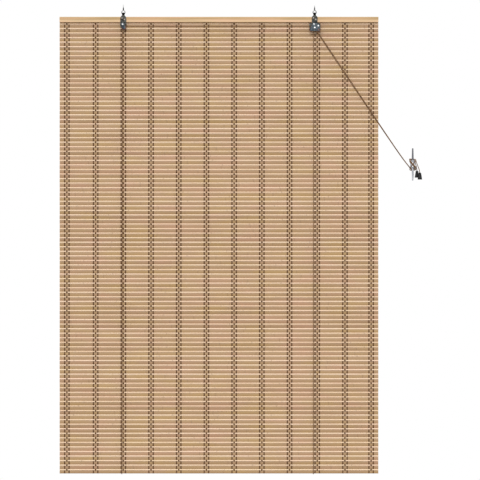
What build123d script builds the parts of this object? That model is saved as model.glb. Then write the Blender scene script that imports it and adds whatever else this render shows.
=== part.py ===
from build123d import *
import os
from math import atan2, cos, pi, sin, sqrt, tan

os.makedirs("parts", exist_ok=True)

# Lengths are in millimetres. X runs to the viewer's right, Y back to the wall and Z up.
# The origin lies midway between the two screw eyes, in the plane of the ceiling.
# A depth is counted forward from the middle of the mat, so it is the negative of Y.

# Head rail
blind_width = 1000.0
rail_drop = 25.0
rail_height = 17.0
rail_depth = 9.0
rail_edge_radius = 1.2

# Woven mat of flat slats and round sticks in turn
mat_length = 1422.0
slat_width = 9.27
slat_thickness = 1.7
stick_diameter = 4.0
stick_facets = 8
reed_gap = 0.5
groove_wall = 0.8
end_land = 12.0
mat_top_drop = 10.2

# Warp yarns, three to a column
yarn_width = 2.8
yarn_thickness = 0.8
yarn_seat_gap = 0.1
yarn_spread = 6.9
yarn_end_inset = 4.0
column_margin = 22.8
first_inner_column = 113.0
column_pitch = 86.9

# Staples that hold the mat's top slat to the rail
staple_count = 7
staple_span = 10.0
staple_wire = 1.0
staple_leg = 7.0
staple_drop = 4.5
staple_slack = 0.05

# Screw eyes in the ceiling
eye_spacing = 600.0
eye_wire = 2.0
eye_ring_radius = 5.5
eye_drop = 10.8
eye_neck_radius = 1.2
eye_shank_radius = 1.5
eye_thread_length = 11.0
eye_point_length = 4.5
eye_point_radius = 0.3

# Hanger plates of pressed sheet, each with a tab curled round its eye
sheet = 1.2
tab_width = 8.2
tab_bend_radius = 2.0
curl_radius = 3.2
curl_turn = 290.0
curl_play = 0.15
plate_rise = 5.0
plate_top_radius = 9.0
shoulder_radius = 10.0
shoulder_rise = 8.0
body_corner_radius = 6.8
body_corner_side = 11.0
rear_boss_radius = 6.2
front_boss_radius = 4.9
roller_boss_radius = 3.9

# Round-headed screws that fix the plates to the rail
screw_radius = 1.4
screw_length = 7.5
screw_head_radius = 2.7
screw_head_height = 1.8
screw_slack = 0.05
upper_screw_side = -3.9
upper_screw_drop = 4.0
lower_screw_side = 3.7
lower_screw_drop = 8.5

# Cord and the wheels that it runs on
cord_diameter = 2.4
cord_gap = 0.3
groove_radius = 2.9
groove_flare = 0.4
sheave_radius = 7.0
sheave_width = 5.0
sheave_edge_radius = 0.3
sheave_drop = 17.3
side_gap = 0.3
sheave_gap = 0.4
left_sheave_side = 1.9
right_sheave_side = 0.3
roller_radius = 6.0
roller_edge = 0.5
roller_gap = 0.35
turn_slack = 0.25

# Axles and spacer rivets
axle_radius = 1.5
axle_slack = 0.05
rivet_slack = 0.03
rivet_head_radius = 2.8
rivet_head_height = 1.3
spacer_radius = 2.5
spacer_rise = 10.7
spacer_side = -2.0
side_spacer_side = 11.3
side_spacer_rise = 6.0

# Staples that anchor the cords behind the rail
anchor_drop = 8.0
anchor_wire = 1.6
anchor_half_span = 3.0
anchor_leg_depth = 6.0
anchor_bend_radius = 1.6
knot_radius = 2.6
knot_rise = 2.8
loop_gap = 1.5
anchor_cord_depth = -3.6
loop_turn_radius = 4.2
exit_run = 1.5

# Wall cleat with its cord wound in a figure of eight
cleat_x = 607.5
cleat_drop = 487.8
wall_depth = -10.0
horn_span = 102.0
horn_radius = 3.3
horn_tip_radius = 2.3
horn_root_length = 26.0
horn_depth = 6.0
foot_length = 34.0
foot_width = 15.0
foot_thickness = 3.0
body_length = 24.0
body_width = 10.0
body_front_round = 2.0
hole_radius = 2.1
hole_spacing = 12.0
sink_radius = 3.9
winding_width = 21.6
winding_length = 39.6
winding_back_depth = -5.0
winding_ring_depth = 2.2
winding_front_depth = 18.0
cross_width = 20.0
cross_length = 18.0
winding_round = 2.0
winding_gap = 0.35

# Bell tassels on the cords' ends
tassel_height = 22.0
tassel_top_radius = 4.2
tassel_rim_radius = 7.4
tassel_dome = 2.0
tassel_rim_round = 0.8
tassel_bore_gap = 0.3
tassel_pocket_gap = 0.3
tassel_knot_rise = 4.0

# One overrun serves every cut
overrun = 2.0

# Levels and depths worked out from the sizes above
rail_top = -rail_drop
rail_bottom = rail_top - rail_height
stick_radius = stick_diameter / 2
reed_room = stick_diameter + 2 * reed_gap
reed_pitch = slat_width + reed_room
slat_count = round((mat_length + reed_room) / reed_pitch)
column_room = blind_width - first_inner_column - 2 * column_margin
inner_columns = int(column_room / column_pitch) + 1
mat_top = rail_top - mat_top_drop
mat_bottom = mat_top - (slat_count - 1) * reed_pitch - slat_width
rail_back = slat_thickness / 2
rail_front = rail_back + rail_depth
plate_front = rail_front + sheet
axle_level = rail_bottom - sheave_drop
cord_radius = cord_diameter / 2
pitch_radius = groove_radius + cord_gap + cord_radius
rear_lane = plate_front + side_gap + sheave_width / 2
front_lane = rear_lane + sheave_width + sheave_gap
left_cheek_back = rear_lane + sheave_width / 2 + side_gap
right_cheek_back = front_lane + sheave_width / 2 + side_gap
left_x = -eye_spacing / 2
right_x = eye_spacing / 2
left_sheave_x = left_x + left_sheave_side
right_sheave_x = right_x + right_sheave_side
exit_lane_x = right_sheave_x + pitch_radius
roller_turn_radius = roller_radius + cord_gap + cord_radius
roller_side = pitch_radius + roller_turn_radius
roller_fall = sqrt((sheave_radius + roller_radius + roller_gap) ** 2 - roller_side**2)
roller_level = axle_level - roller_fall
anchor_level = rail_top - anchor_drop
plate_neck_level = rail_top + plate_rise - plate_top_radius
cleat_level = -cleat_drop

# Routes of the free cords beside the wall, chosen by hand
left_arrival = (600.0, 1.0, -499.0)
right_arrival = (598.5, -1.5, -497.0)
left_tail_route = [
    (610.9, -1.4, -473.4),
    (615.3, -2.4, -476.4),
    (617.4, -3.6, -483.4),
    (619.4, -2.6, -490.8),
    (620.6, -0.4, -498.6),
    (621.2, 1.0, -507.0),
    (621.2, 1.0, -525.2),
]
right_tail_route = [
    (612.9, 1.5, -471.2),
    (619.1, -1.0, -471.8),
    (620.4, -8.0, -479.4),
    (623.2, -11.4, -489.0),
    (627.4, -11.7, -500.0),
    (629.8, -11.5, -510.6),
    (629.8, -11.5, -531.4),
]


def front_plane(depth):
    """Plane that faces the viewer at a depth, with X across and Z up."""
    return Plane.XZ.offset(depth)


def disc(x, level, radius):
    """Circle in a plane that faces the viewer."""
    return Pos(x, level) * Circle(radius)


def hull(discs):
    """Outline that wraps round several circles, as a pressed plate's does."""
    edges = [edge for one in discs for edge in one.edges()]
    return make_hull(edges)


def turned(edges):
    """Solid turned about Z from its half outline, given as radius and height."""
    return revolve(Plane.XZ * make_face(edges), Axis.Z)


def cap(radius, base, height):
    """Edge of a domed head, from its rim up or down to its top on the axis."""
    rim_angle = 2 * atan2(abs(height), radius)
    sphere = radius / sin(rim_angle)
    drop = sphere * (1 - cos(rim_angle / 2))
    half_way = base + height - drop * (1 if height > 0 else -1)
    return ThreePointArc((radius, base), (sphere * sin(rim_angle / 2), half_way), (0, base + height))


def facing(solid, x, level):
    """Turn a solid's height towards the viewer and put its axis at a place on the blind."""
    return Pos(x, 0, level) * Rot(90, 0, 0) * solid


def tube(name, route, radii, radius):
    """Round cord along straight runs and tangent arcs."""
    path = FilletPolyline(*route, radius=radii)
    section = Plane(origin=path @ 0, z_dir=path % 0) * Circle(radius)
    body = sweep(section, path=path)
    share = body.volume / (pi * radius**2 * path.length)
    rounded = [round(one, 1) for one in radii]
    print(f"{name}: length {path.length:.1f}, radii {rounded}, volume share {share:.4f}")
    return body


def wide_radii(route):
    """Radius for each corner of a loose cord, as large as its two runs allow."""
    run_share = 0.45
    radii = []
    for before, corner, after in zip(route, route[1:], route[2:]):
        first = Vector(corner) - Vector(before)
        second = Vector(after) - Vector(corner)
        half_turn = first.get_angle(second) / 2 * pi / 180
        radii.append(run_share * min(first.length, second.length) / tan(half_turn))
    return radii


def make_head_rail():
    """Wooden batten with pilot holes for the plates' screws, the staples and the cord anchors."""
    middle_depth = (rail_back + rail_front) / 2
    middle_level = (rail_top + rail_bottom) / 2
    rail = Pos(0, -middle_depth, middle_level) * Box(blind_width, rail_depth, rail_height)
    rail = fillet(rail.edges().filter_by(Axis.X), rail_edge_radius)
    cuts = []
    for x, level in plate_screw_places(left_x) + plate_screw_places(right_x):
        pilot = front_plane(rail_front + overrun) * disc(x, level, screw_radius + screw_slack)
        cuts.append(extrude(pilot, -(screw_length - sheet + overrun)))
    for x, level in staple_leg_places():
        cuts.append(staple_leg_hole(x, level))
    for cord_x in (left_sheave_x - pitch_radius, right_sheave_x - pitch_radius):
        for side in (-anchor_half_span, anchor_half_span):
            hole = disc(cord_x + side, anchor_level, anchor_wire / 2 + staple_slack)
            leg = front_plane(rail_back - overrun) * hole
            cuts.append(extrude(leg, anchor_leg_depth + overrun))
    return rail - cuts


def make_slat_mat():
    """One ridged wall: slats and sticks in turn, with an open gap under every stick."""
    corner_radius = stick_radius / cos(pi / stick_facets)
    side = []
    gap_levels = []
    for number in range(slat_count):
        low = mat_bottom + number * reed_pitch
        high = low + slat_width
        side += [(slat_thickness / 2, low), (slat_thickness / 2, high)]
        if number == slat_count - 1:
            break
        centre = high + reed_gap + stick_radius
        for corner in range(stick_facets // 2):
            angle = pi / stick_facets * (2 * corner + 1) - pi / 2
            side.append((corner_radius * cos(angle), centre + corner_radius * sin(angle)))
        side.append((groove_wall / 2, centre + stick_radius + reed_gap / 2))
        gap_levels.append(high + reed_gap / 2)
    outline = side + [(-y, z) for y, z in reversed(side)]
    section = Plane.YZ.offset(-blind_width / 2) * make_face(Polyline(*outline, close=True))
    mat = extrude(section, blind_width)
    gap = Box(blind_width - 2 * end_land, stick_diameter + overrun, reed_gap)
    cuts = [Pos(0, 0, level) * gap for level in gap_levels]
    cuts += [staple_leg_hole(x, level) for x, level in staple_leg_places()]
    return mat - cuts


def column_places():
    """Middles of the yarn columns: one near each end and evenly pitched ones between."""
    inner = [first_inner_column - blind_width / 2 + i * column_pitch for i in range(inner_columns)]
    edge = blind_width / 2 - column_margin
    return [-edge] + inner + [edge]


def make_warp_yarns(x):
    """Two yarns down the front of the sticks and one down the back, drawn as straight strips."""
    low = mat_bottom + yarn_end_inset
    seat = stick_radius + yarn_seat_gap
    strips = []
    for side, depth, high in (
        (-yarn_spread, seat, rail_bottom - yarn_seat_gap),
        (0, -seat - yarn_thickness, mat_top - yarn_end_inset),
        (yarn_spread, seat, rail_bottom - yarn_seat_gap),
    ):
        strip = front_plane(depth) * Pos(x + side, (low + high) / 2) * Rectangle(yarn_width, high - low)
        strips.append(extrude(strip, yarn_thickness))
    return strips


def staple_places():
    """Staples sit midway between yarn columns, spread evenly along the rail."""
    columns = column_places()
    gaps = len(columns) - 1
    picks = [round(gaps * (i + 1) / (staple_count + 1)) for i in range(staple_count)]
    return [(columns[pick - 1] + columns[pick]) / 2 for pick in picks]


def staple_leg_places():
    """Places of both legs of every mat staple."""
    half = (staple_span - staple_wire) / 2
    level = mat_top - staple_drop
    return [(x + side, level) for x in staple_places() for side in (-half, half)]


def staple_leg_hole(x, level):
    """Square hole that a staple leg makes through the top slat and into the rail."""
    width = staple_wire + 2 * staple_slack
    back = -slat_thickness / 2 - overrun
    depth = staple_leg - slat_thickness / 2 + staple_slack
    hole = front_plane(back) * Pos(x, level) * Rectangle(width, width)
    return extrude(hole, depth - back)


def make_mat_staple(x):
    """Flat-wire staple with its crown on the back of the top slat."""
    half = staple_span / 2
    back = slat_thickness / 2
    tip = back - staple_leg
    crown = back + staple_wire
    outer = Polyline(
        (x - half, crown),
        (x + half, crown),
        (x + half, tip),
        (x + half - staple_wire, tip),
        (x + half - staple_wire, back),
        (x - half + staple_wire, back),
        (x - half + staple_wire, tip),
        (x - half, tip),
        close=True,
    )
    level = mat_top - staple_drop - staple_wire / 2
    return extrude(Plane.XY.offset(level) * make_face(outer), staple_wire)


def make_screw_eye(x):
    """Wire ring on a neck below the ceiling and a pointed shank that screws up into it."""
    ring = Pos(x, 0, -eye_drop) * Rot(90, 0, 0) * Torus(eye_ring_radius, eye_wire / 2)
    foot = eye_ring_radius - eye_drop
    tip = eye_thread_length + eye_point_length
    half = Polyline(
        (0, foot),
        (eye_neck_radius, foot),
        (eye_neck_radius, 0),
        (eye_shank_radius, 0),
        (eye_shank_radius, eye_thread_length),
        (eye_point_radius, tip),
        (0, tip),
        close=True,
    )
    return ring + Pos(x, 0, 0) * turned(half)


def curl_level():
    """Height of the curl's axis, where its bore hangs on the ring at both ends of the tab."""
    inner_radius = eye_ring_radius - eye_wire / 2
    wire_top = -eye_drop - sqrt(inner_radius**2 - (tab_width / 2) ** 2)
    return wire_top + curl_play - (curl_radius - sheet / 2)


def make_tab(x):
    """Tab that bends back over the rail and curls round the ring's lower wire."""
    plate_y = -(rail_front + plate_front) / 2
    strap = curl_level() - curl_radius
    bend = FilletPolyline(
        (x, plate_y, rail_top),
        (x, plate_y, strap),
        (x, 0, strap),
        radius=tab_bend_radius,
    )
    curl_plane = Plane(origin=(x, 0, curl_level()), x_dir=(0, 1, 0), z_dir=(1, 0, 0))
    curl = curl_plane * CenterArc((0, 0), curl_radius, -90, curl_turn)
    section = Plane(origin=bend @ 0, x_dir=(1, 0, 0), z_dir=(0, 0, 1)) * Rectangle(tab_width, sheet)
    return sweep(section, path=Wire(bend.edges() + curl.edges()))


def plate_screw_places(x):
    """Two screws, one above the other and to each side."""
    return [
        (x + upper_screw_side, rail_top - upper_screw_drop),
        (x + lower_screw_side, rail_top - lower_screw_drop),
    ]


def left_axle_places():
    """Axle of the left sheave, and the spacer above it."""
    return (left_sheave_x, axle_level), [(left_x + spacer_side, axle_level + spacer_rise)]


def right_axle_places():
    """Axle of the right sheaves, axles of the roller on each side below it, and the two spacers above."""
    rollers = [(right_sheave_x + side, roller_level) for side in (-roller_side, roller_side)]
    spacers = [
        (right_x + spacer_side, axle_level + spacer_rise),
        (right_x + side_spacer_side, axle_level + side_spacer_rise),
    ]
    return (right_sheave_x, axle_level), rollers, spacers


def pressed_plate(outline, depth, holes):
    """Flat pressed plate whose holes fit the rivets."""
    plate = extrude(front_plane(depth) * outline, sheet)
    cuts = []
    for x, level, radius in holes:
        hole = front_plane(depth - overrun) * disc(x, level, radius)
        cuts.append(extrude(hole, sheet + 2 * overrun))
    return plate - cuts


def plate_holes(x, rivets):
    """Screw holes and rivet holes of one hanger plate."""
    holes = [(*place, screw_radius + screw_slack) for place in plate_screw_places(x)]
    return holes + [(*place, axle_radius + rivet_slack) for place in rivets]


def make_left_hanger_plate():
    """Rear cheek of the left block, which also carries the blind."""
    axle, spacers = left_axle_places()
    outline = hull(
        [
            disc(left_x, plate_neck_level, plate_top_radius),
            disc(left_x, axle_level + shoulder_rise, shoulder_radius),
            disc(*axle, rear_boss_radius),
        ]
    )
    plate = pressed_plate(outline, rail_front, plate_holes(left_x, [axle] + spacers))
    return plate + make_tab(left_x)


def make_right_hanger_plate():
    """Rear cheek of the right block: a narrow neck on a wide body for three axles."""
    axle, rollers, spacers = right_axle_places()
    neck = hull(
        [
            disc(right_x, plate_neck_level, plate_top_radius),
            disc(right_x, rail_bottom, plate_top_radius),
        ]
    )
    corner_level = axle_level + shoulder_rise
    corners = [(right_sheave_x + side, corner_level) for side in (-body_corner_side, body_corner_side)]
    body = hull(
        [disc(*place, body_corner_radius) for place in corners]
        + [disc(*place, roller_boss_radius) for place in rollers]
    )
    plate = pressed_plate(neck + body, rail_front, plate_holes(right_x, [axle] + rollers + spacers))
    return plate + make_tab(right_x)


def make_front_cheek(axle, rollers, spacers, depth):
    """Front cheek that holds the axles and leaves the wheels' lower rims in view."""
    outline = hull(
        [disc(*place, front_boss_radius) for place in [axle] + spacers]
        + [disc(*place, roller_boss_radius) for place in rollers]
    )
    holes = [(*place, axle_radius + rivet_slack) for place in [axle] + rollers + spacers]
    return pressed_plate(outline, depth, holes)


def make_plate_screw(x, level):
    """Round-headed wood screw through the plate into the rail."""
    tip = plate_front - screw_length
    top = plate_front + screw_head_height
    crown = Line((0, top), (0, tip))
    shank = Polyline(
        (0, tip),
        (screw_radius, tip),
        (screw_radius, plate_front),
        (screw_head_radius, plate_front),
    )
    dome = cap(screw_head_radius, plate_front, screw_head_height)
    return facing(turned(shank.edges() + dome.edges() + crown.edges()), x, level)


def make_sheave(x, lane):
    """Grooved wheel with a plain bore."""
    half = sheave_width / 2
    bore = axle_radius + axle_slack
    lip = cord_radius + cord_gap
    rim = Polyline(
        (pitch_radius, -lip),
        (sheave_radius, -lip - groove_flare),
        (sheave_radius, -half),
        (bore, -half),
        (bore, half),
        (sheave_radius, half),
        (sheave_radius, lip + groove_flare),
        (pitch_radius, lip),
    )
    groove = ThreePointArc((pitch_radius, lip), (groove_radius, 0), (pitch_radius, -lip))
    wheel = turned(rim.edges() + groove.edges())
    outer = wheel.edges().filter_by(GeomType.CIRCLE).filter_by(lambda e: e.radius == sheave_radius)
    outer_rims = [e for e in outer if abs(abs(e.center().Z) - half) < sheave_edge_radius]
    wheel = fillet(outer_rims, sheave_edge_radius)
    return facing(Pos(0, 0, lane) * wheel, x, axle_level)


def make_roller(x, level):
    """Plain roller beside the cords, which turns them out towards a cleat on its side."""
    half = (front_lane - rear_lane + sheave_width) / 2
    bore = axle_radius + axle_slack
    half_outline = Polyline(
        (bore, -half),
        (roller_radius - roller_edge, -half),
        (roller_radius, -half + roller_edge),
        (roller_radius, half - roller_edge),
        (roller_radius - roller_edge, half),
        (bore, half),
        close=True,
    )
    middle = (front_lane + rear_lane) / 2
    return facing(Pos(0, 0, middle) * turned(half_outline), x, level)


def make_rivet(x, level, cheek_back):
    """Rivet through both cheeks, with a domed head on each side."""
    front = cheek_back + sheet
    side = Polyline(
        (rivet_head_radius, front),
        (axle_radius, front),
        (axle_radius, rail_front),
        (rivet_head_radius, rail_front),
    )
    rear_dome = cap(rivet_head_radius, rail_front, -rivet_head_height)
    core = Line((0, rail_front - rivet_head_height), (0, front + rivet_head_height))
    front_dome = cap(rivet_head_radius, front, rivet_head_height)
    outline = side.edges() + rear_dome.edges() + core.edges() + front_dome.edges()
    return facing(turned(outline), x, level)


def make_spacer_rivet(x, level, cheek_back):
    """Rivet with a thick shoulder that keeps the cheeks apart."""
    shoulder = extrude(front_plane(plate_front) * disc(x, level, spacer_radius), cheek_back - plate_front)
    return make_rivet(x, level, cheek_back) + shoulder


def make_cord_anchor(cord_x):
    """Round-wire staple behind the rail that stops the cord's knot."""
    tip = -(rail_back + anchor_leg_depth)
    crown = -anchor_cord_depth + cord_radius + cord_gap + anchor_wire / 2
    route = [
        (cord_x - anchor_half_span, tip, anchor_level),
        (cord_x - anchor_half_span, crown, anchor_level),
        (cord_x + anchor_half_span, crown, anchor_level),
        (cord_x + anchor_half_span, tip, anchor_level),
    ]
    path = FilletPolyline(*route, radius=anchor_bend_radius)
    section = Plane(origin=path @ 0, z_dir=path % 0) * Circle(anchor_wire / 2)
    return sweep(section, path=path)


def lift_route(cord_x, lane, arrival):
    """From the knot down the back, under the mat, up the front, over the wheels and out at the roller."""
    run_depth = stick_radius + yarn_seat_gap + yarn_thickness + loop_gap
    low = mat_bottom - cord_gap - cord_radius
    top = axle_level + pitch_radius
    corner = Vector(exit_lane_x, -lane, roller_level)
    towards = (Vector(*arrival) - corner).normalized()
    turn = towards.get_angle(Vector(0, 0, -1)) * pi / 180
    tangent = roller_turn_radius * tan(turn / 2)
    corner = Vector(exit_lane_x, -lane, roller_level - tangent)
    leave = corner + (Vector(*arrival) - corner).normalized() * (tangent + exit_run)
    route = [
        (cord_x, -anchor_cord_depth, anchor_level + knot_rise),
        (cord_x, run_depth, low),
        (cord_x, -run_depth, low),
        (cord_x, -lane, top),
        (exit_lane_x, -lane, top),
        tuple(corner),
        tuple(leave),
    ]
    wheel_turn = pitch_radius - turn_slack
    radii = [loop_turn_radius, loop_turn_radius, wheel_turn, wheel_turn, roller_turn_radius - turn_slack]
    return route, radii


def make_lift_cord(name, cord_x, lane, arrival):
    """Cord that the blind holds all the way, with the knot at its fixed end."""
    route, radii = lift_route(cord_x, lane, arrival)
    return tube(name, route, radii, cord_radius) + Pos(*route[0]) * Sphere(knot_radius)


def make_pull_cord(cord_x, lane, arrival, winding):
    """Taut stretch from the roller down to the windings on the cleat."""
    route, _ = lift_route(cord_x, lane, arrival)
    start = Vector(*route[-1])
    run = Vector(*arrival) - start
    section = Plane(origin=start, z_dir=run) * Circle(cord_radius)
    return (extrude(section, run.length) - winding).solids().sort_by_distance(start)[0]


def cleat_form(gap):
    """Cleat without its holes, grown by a gap on every side."""
    reach = horn_span / 2 + gap
    tip = horn_tip_radius + gap
    thick = horn_radius + gap
    root = horn_root_length / 2
    shoulder = reach - tip + tip * sin(pi / 4)
    upper_tip = ThreePointArc((tip, reach - tip), (tip * cos(pi / 4), shoulder), (0, reach))
    lower_tip = ThreePointArc((0, -reach), (tip * cos(pi / 4), -shoulder), (tip, tip - reach))
    side = Polyline((tip, tip - reach), (thick, -root), (thick, root), (tip, reach - tip))
    core = Line((0, reach), (0, -reach))
    bar = turned(side.edges() + upper_tip.edges() + core.edges() + lower_tip.edges())
    bar = Pos(cleat_x, -horn_depth, cleat_level) * bar
    middle = Pos(cleat_x, cleat_level)
    foot_slot = middle * SlotOverall(foot_length + 2 * gap, foot_width + 2 * gap, rotation=90)
    foot = extrude(front_plane(wall_depth) * foot_slot, foot_thickness + gap)
    body_slot = middle * SlotOverall(body_length + 2 * gap, body_width + 2 * gap, rotation=90)
    body_height = horn_depth + horn_radius + gap - wall_depth
    body = extrude(front_plane(wall_depth) * body_slot, body_height)
    front_edges = body.faces().sort_by(Axis.Y)[0].edges()
    body = fillet(front_edges, body_front_round)
    return bar + foot + body


def make_cleat():
    """Cleat with two countersunk holes through its body."""
    cuts = []
    front = horn_depth + horn_radius
    for side in (-hole_spacing / 2, hole_spacing / 2):
        level = cleat_level + side
        hole = front_plane(wall_depth - overrun) * disc(cleat_x, level, hole_radius)
        cuts.append(extrude(hole, front - wall_depth + 2 * overrun))
        sink = front_plane(front - (sink_radius - hole_radius)) * disc(cleat_x, level, hole_radius)
        mouth = front_plane(front) * disc(cleat_x, level, sink_radius)
        cuts.append(loft([sink, mouth]))
    return cleat_form(0) - cuts


def make_winding():
    """Outer shape of the cord's figure of eight: a ring behind the horns and a cross over the body."""
    middle = Pos(cleat_x, cleat_level)
    ring_slot = middle * SlotOverall(winding_length, winding_width, rotation=90)
    ring = extrude(front_plane(winding_back_depth) * ring_slot, winding_ring_depth - winding_back_depth)
    cross_face = middle * RectangleRounded(cross_width, cross_length, winding_round)
    cross = extrude(front_plane(winding_back_depth) * cross_face, winding_front_depth - winding_back_depth)
    return ring + cross - cleat_form(winding_gap)


def make_tail(name, route, winding):
    """Loose end from the windings down into its tassel, with the knot that stops it there."""
    cord = tube(name, route, wide_radii(route), cord_radius) - winding
    piece = cord.solids().sort_by_distance(Vector(*route[-1]))[0]
    return piece + Pos(*route[-1]) * Sphere(knot_radius)


def make_tassel(route):
    """Bell with a bore for the cord and a pocket below for its knot."""
    bore = cord_radius + tassel_bore_gap
    pocket = knot_radius + tassel_pocket_gap
    roof = tassel_knot_rise + pocket
    neck = tassel_height - tassel_dome
    side = Polyline(
        (bore, tassel_height),
        (bore, roof),
        (pocket, roof),
        (pocket, 0),
        (tassel_rim_radius, 0),
        (tassel_top_radius, neck),
        (tassel_top_radius - tassel_dome, tassel_height),
        close=True,
    )
    bell = turned(side)
    rim = bell.edges().filter_by(GeomType.CIRCLE).sort_by(lambda e: e.radius)[-1]
    bell = fillet(rim, tassel_rim_round)
    x, y, knot_level = route[-1]
    return Pos(x, y, knot_level - tassel_knot_rise) * bell


left_cord_x = left_sheave_x - pitch_radius
right_cord_x = right_sheave_x - pitch_radius
left_axle, left_spacers = left_axle_places()
right_axle, right_rollers, right_spacers = right_axle_places()
winding = make_winding()

nodes = {
    "head_rail": make_head_rail(),
    "slat_mat": make_slat_mat(),
    "mat_staples": [make_mat_staple(x) for x in staple_places()],
    "left_screw_eye": make_screw_eye(left_x),
    "right_screw_eye": make_screw_eye(right_x),
    "left_hanger_plate": make_left_hanger_plate(),
    "right_hanger_plate": make_right_hanger_plate(),
    "left_plate_screws": [make_plate_screw(*place) for place in plate_screw_places(left_x)],
    "right_plate_screws": [make_plate_screw(*place) for place in plate_screw_places(right_x)],
    "left_front_cheek": make_front_cheek(left_axle, [], left_spacers, left_cheek_back),
    "right_front_cheek": make_front_cheek(right_axle, right_rollers, right_spacers, right_cheek_back),
    "left_sheave": make_sheave(left_sheave_x, rear_lane),
    "right_rear_sheave": make_sheave(right_sheave_x, rear_lane),
    "right_front_sheave": make_sheave(right_sheave_x, front_lane),
    "inner_roller": make_roller(*right_rollers[0]),
    "guide_roller": make_roller(*right_rollers[1]),
    "left_axle": make_rivet(*left_axle, left_cheek_back),
    "right_axle": make_rivet(*right_axle, right_cheek_back),
    "inner_axle": make_rivet(*right_rollers[0], right_cheek_back),
    "guide_axle": make_rivet(*right_rollers[1], right_cheek_back),
    "left_spacer_rivet": make_spacer_rivet(*left_spacers[0], left_cheek_back),
    "right_spacer_rivets": [make_spacer_rivet(*p, right_cheek_back) for p in right_spacers],
    "left_cord_anchor": make_cord_anchor(left_cord_x),
    "right_cord_anchor": make_cord_anchor(right_cord_x),
    "left_lift_cord": make_lift_cord("left_lift_cord", left_cord_x, rear_lane, left_arrival),
    "right_lift_cord": make_lift_cord("right_lift_cord", right_cord_x, front_lane, right_arrival),
    "left_pull_cord": make_pull_cord(left_cord_x, rear_lane, left_arrival, winding),
    "right_pull_cord": make_pull_cord(right_cord_x, front_lane, right_arrival, winding),
    "cleat": make_cleat(),
    "cleat_winding": winding,
    "left_cord_tail": make_tail("left_cord_tail", left_tail_route, winding),
    "right_cord_tail": make_tail("right_cord_tail", right_tail_route, winding),
    "left_tassel": make_tassel(left_tail_route),
    "right_tassel": make_tassel(right_tail_route),
}
for number, x in enumerate(column_places(), 1):
    nodes[f"warp_yarns_{number:02d}"] = make_warp_yarns(x)

for name, piece in nodes.items():
    solids = piece if isinstance(piece, list) else piece.solids()
    shape = solids[0] if len(solids) == 1 else Compound(children=list(solids))
    export_step(shape, f"parts/{name}.step")
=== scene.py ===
# %% [markdown]
# # A bamboo roll up blind
# The blind is a mat of flat bamboo slats and round sticks in turn, tied together by dark yarns, under a
# wooden head rail. Two pulley blocks hang in screw eyes, and two cords run from them to a cleat on the
# wall. The imported model is the frame: each piece that is modelled here is built around it, in the same
# metres.

# %% Load the frame
import math
import random

import bmesh
import bpy
from mathutils import Matrix, Vector


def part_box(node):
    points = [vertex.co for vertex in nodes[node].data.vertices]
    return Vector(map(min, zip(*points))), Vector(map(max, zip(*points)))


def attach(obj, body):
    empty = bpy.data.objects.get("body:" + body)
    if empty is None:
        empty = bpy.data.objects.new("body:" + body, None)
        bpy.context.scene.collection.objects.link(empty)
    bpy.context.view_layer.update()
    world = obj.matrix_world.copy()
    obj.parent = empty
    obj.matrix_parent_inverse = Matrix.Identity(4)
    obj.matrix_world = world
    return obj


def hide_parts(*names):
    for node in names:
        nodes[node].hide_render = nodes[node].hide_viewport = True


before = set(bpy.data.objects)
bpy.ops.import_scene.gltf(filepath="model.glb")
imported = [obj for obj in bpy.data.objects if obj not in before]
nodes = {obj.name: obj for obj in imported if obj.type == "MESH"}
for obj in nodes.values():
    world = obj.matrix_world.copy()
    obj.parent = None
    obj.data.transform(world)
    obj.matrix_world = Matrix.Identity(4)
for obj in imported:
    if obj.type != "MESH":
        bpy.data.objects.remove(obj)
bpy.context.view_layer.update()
MM = 0.001
BODY = "blind"
scene = bpy.context.scene

# %% [markdown]
# ## Camera
# The picture looks straight at the mat, and its edges stay parallel, so it was taken from far away. A
# long lens far in front gives that. The scale of the picture sets how far away the camera stands.

# %% Camera
PICTURE_MIDDLE = Vector((65.9, 0.0, -724.8)) * MM
PICTURE_WIDTH = 1505.8 * MM
LENS = 400.0
SENSOR = 36.0
camera_data = bpy.data.cameras.new("camera")
camera_data.lens = LENS
camera_data.sensor_width = SENSOR
camera = bpy.data.objects.new("camera", camera_data)
camera.location = PICTURE_MIDDLE - Vector((0.0, PICTURE_WIDTH * LENS / SENSOR, 0.0))
camera.rotation_euler = (math.radians(90.0), 0.0, 0.0)
scene.collection.objects.link(camera)
scene.camera = camera
print("camera stands", round(-camera.location.y, 2), "m in front")

# %% [markdown]
# ## Light and background
# The blind was shot on white in soft light, and only the rail leaves a short dark line below it. Most
# of that light is the world's, which is stronger from above than from below, so that round sticks and
# crowned slats are paler on their upper side. A sun lamp, high in front, draws the rail's line. It
# gives every slat the same light from top to bottom, which a near lamp can't. The world shows as pure
# white to the camera and in reflections, so the background is white without more light on the bamboo.

# %% Sun lamp
SUN_STRENGTH = 1.45
SUN_SPREAD = math.radians(22.0)
SUN_TURN = (math.radians(58.0), 0.0, math.radians(-6.0))
sun_data = bpy.data.lights.new("key_light", "SUN")
sun_data.energy = SUN_STRENGTH
sun_data.angle = SUN_SPREAD
sun = bpy.data.objects.new("key_light", sun_data)
sun.rotation_euler = SUN_TURN
scene.collection.objects.link(sun)
print("sun strength", SUN_STRENGTH)

# %% White world
SKY_ABOVE = 0.97
SKY_BELOW = 0.36
world = bpy.data.worlds.new("white_studio")
world.use_nodes = True
scene.world = world
scene.view_settings.view_transform = "Standard"


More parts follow.
